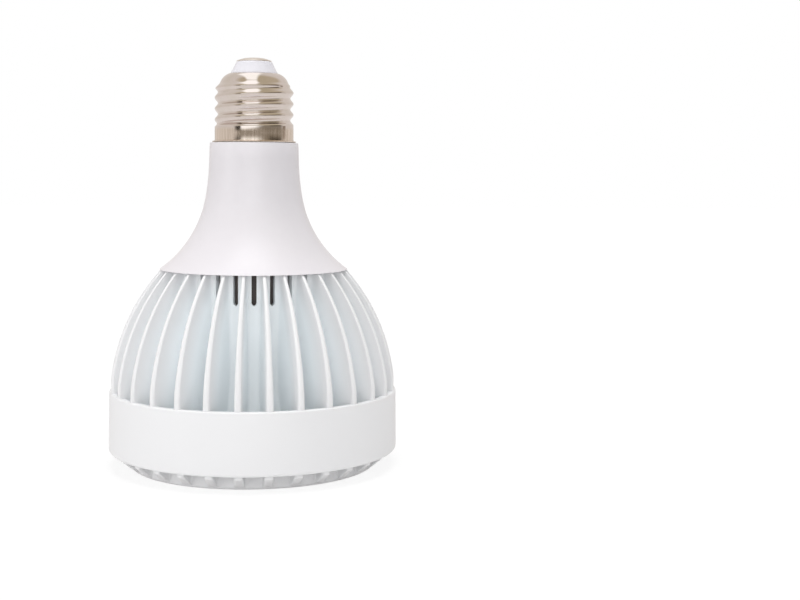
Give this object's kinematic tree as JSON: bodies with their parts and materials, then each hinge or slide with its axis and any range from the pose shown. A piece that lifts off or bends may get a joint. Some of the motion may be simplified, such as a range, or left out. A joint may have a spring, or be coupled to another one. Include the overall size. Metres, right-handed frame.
{
  "type": "par spotlight bulb",
  "caption": "Reflector-shaped LED spotlight bulb: die-cast finned heat sink with a rim band, moulded bell neck, clear spot lens in the front ring and an Edison screw cap.",
  "frame": {"origin": "centre of the front ring's lowest plane, on which the bulb stands", "axes": "+Z along the bulb's axis from the light-giving front to the screw cap; a gap between two fins faces -Y"},
  "size_m": [0.095, 0.095, 0.135],
  "materials": {
    "heat_sink": "white powder coat, satin",
    "lens": "clear moulded plastic, grey where it is frosted",
    "seal": "beige adhesive bead",
    "pad": "grey thermal pad",
    "source_plate": "bare",
    "phosphor": "yellow silicone",
    "holder": "white moulding",
    "screws": "zinc plated",
    "neck": "white moulding, glossy",
    "tub": "dark moulding",
    "board": "green circuit board",
    "ferrite": "dark ferrite",
    "bobbin": "black moulding",
    "winding": "enamelled copper wire",
    "capacitor": "dark sleeve over an aluminium can",
    "film": "yellow case",
    "package": "black moulding",
    "fuse": "green-blue coating",
    "cap_shell": "nickel plated",
    "insulator": "white moulding",
    "contact": "dull brass",
    "lead_brown": "brown insulation",
    "lead_blue": "blue insulation",
    "lead_red": "red insulation",
    "lead_black": "black insulation"
  },
  "bodies": {
    "root": {"heat_sink": "heat_sink", "lens_optic": "lens", "lens_seal": "seal", "thermal_pad": "pad", "cob_substrate": "source_plate", "cob_phosphor": "phosphor", "cob_holder": "holder", "holder_screws": "screws", "housing_screws": "screws", "neck_housing": "neck", "driver_tub": "tub", "driver_board": "board", "transformer_core": "ferrite", "choke_core": "ferrite", "transformer_bobbin": "bobbin", "transformer_winding": "winding", "choke_winding": "winding", "input_capacitor": "capacitor", "output_capacitor": "capacitor", "film_capacitor": "film", "bridge_rectifier": "package", "output_diode": "package", "switching_transistor": "package", "controller_chip": "package", "fuse_resistor": "fuse", "screw_shell": "cap_shell", "contact_insulator": "insulator", "centre_contact": "contact", "live_lead": "lead_brown", "neutral_lead": "lead_blue", "positive_lead": "lead_red", "negative_lead": "lead_black"}
  },
  "joints": []
}
